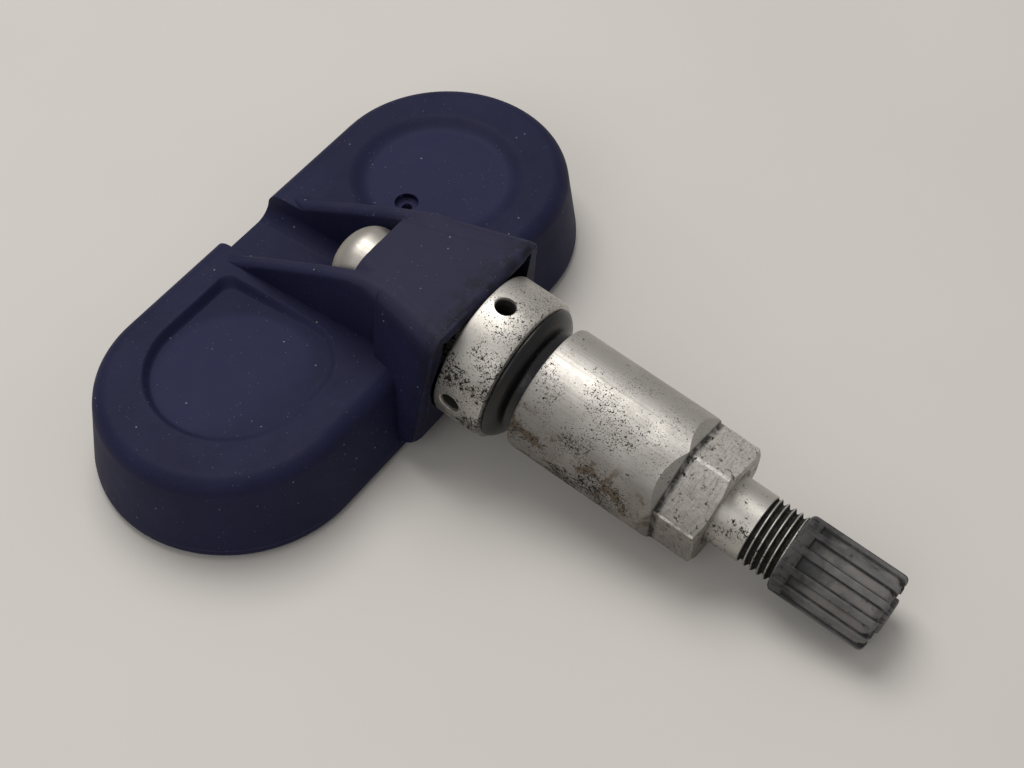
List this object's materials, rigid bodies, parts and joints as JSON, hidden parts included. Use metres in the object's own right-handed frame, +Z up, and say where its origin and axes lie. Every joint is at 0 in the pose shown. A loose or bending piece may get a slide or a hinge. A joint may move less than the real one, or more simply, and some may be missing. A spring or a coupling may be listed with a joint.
{
  "type": "tyre pressure sensor",
  "caption": "Clamp-in tyre pressure sensor: two-lobed moulded housing with a central hood, metal valve stem, rubber grommet, sleeve nut and ribbed dust cap.",
  "frame": {"origin": "centre of the flat underside of the housing, on the plane of the valve axis", "axes": "+X along the housing, -Y the way the valve stem points, +Z up from the underside"},
  "size_m": [0.0676, 0.0838, 0.02],
  "materials": {
    "housing_plastic": "moulded, fine matte grain, worn edges",
    "cover_plastic": "moulded, matte",
    "board_laminate": "coated laminate",
    "cell_steel": "satin",
    "tab_steel": "plain",
    "chip_plastic": "moulded",
    "seal_rubber": "soft, matt",
    "antenna_metal": "bare",
    "stem_aluminium": "turned, satin, dirty thread",
    "screw_steel": "satin, scratched",
    "grommet_rubber": "black, slightly glossy",
    "nut_aluminium": "drawn, satin, pitted",
    "cap_plastic": "worn, dusty",
    "core_brass": "turned"
  },
  "bodies": {
    "sensor": {"housing": "housing_plastic", "base_cover": "cover_plastic", "circuit_board": "board_laminate", "coin_cell": "cell_steel", "battery_tab_top": "tab_steel", "battery_tab_bottom": "tab_steel", "sensor_chip": "chip_plastic", "port_seal": "seal_rubber", "rf_crystal": "cell_steel", "capacitors": "chip_plastic", "antenna": "antenna_metal", "valve_stem": "stem_aluminium", "retaining_screw": "screw_steel", "screw_washer": "screw_steel", "grommet": "grommet_rubber", "core_barrel": "core_brass", "core_gasket": "seal_rubber", "core_spring": "tab_steel"},
    "nut_carrier": {"nut_thrust_washer": "tab_steel"},
    "nut": {"union_nut": "nut_aluminium"},
    "cap_carrier": {"cap_seal": "seal_rubber"},
    "cap": {"valve_cap": "cap_plastic"},
    "core": {"core_pin": "core_brass", "core_cup": "core_brass", "core_cup_seal": "seal_rubber"}
  },
  "joints": [
    {"name": "nut_travel", "type": "slide", "parent": "sensor", "child": "nut_carrier", "axis": [0, -0.9888, -0.1495], "range_m": [0, 0.005]},
    {"name": "nut_turn", "type": "hinge", "parent": "nut_carrier", "child": "nut", "pos_m": [0, -0.03858, 0.00891], "axis": [0, -0.9888, -0.1495], "range_deg": [0, 1800]},
    {"name": "cap_travel", "type": "slide", "parent": "sensor", "child": "cap_carrier", "axis": [0, -0.9888, -0.1495], "range_m": [0, 0.00952]},
    {"name": "cap_turn", "type": "hinge", "parent": "cap_carrier", "child": "cap", "pos_m": [0, -0.06231, 0.00532], "axis": [0, -0.9888, -0.1495], "range_deg": [0, 4320]},
    {"name": "core_press", "type": "slide", "parent": "sensor", "child": "core", "axis": [0, 0.9888, 0.1495], "range_m": [0, 0.0015], "stiffness_N_per_m": 300, "deforming": ["core_spring"]}
  ],
  "couplings": [
    {"joint": "nut_turn", "follows": "nut_travel", "rad_per_m": 6283.2},
    {"joint": "cap_turn", "follows": "cap_travel", "rad_per_m": 7913.3}
  ]
}
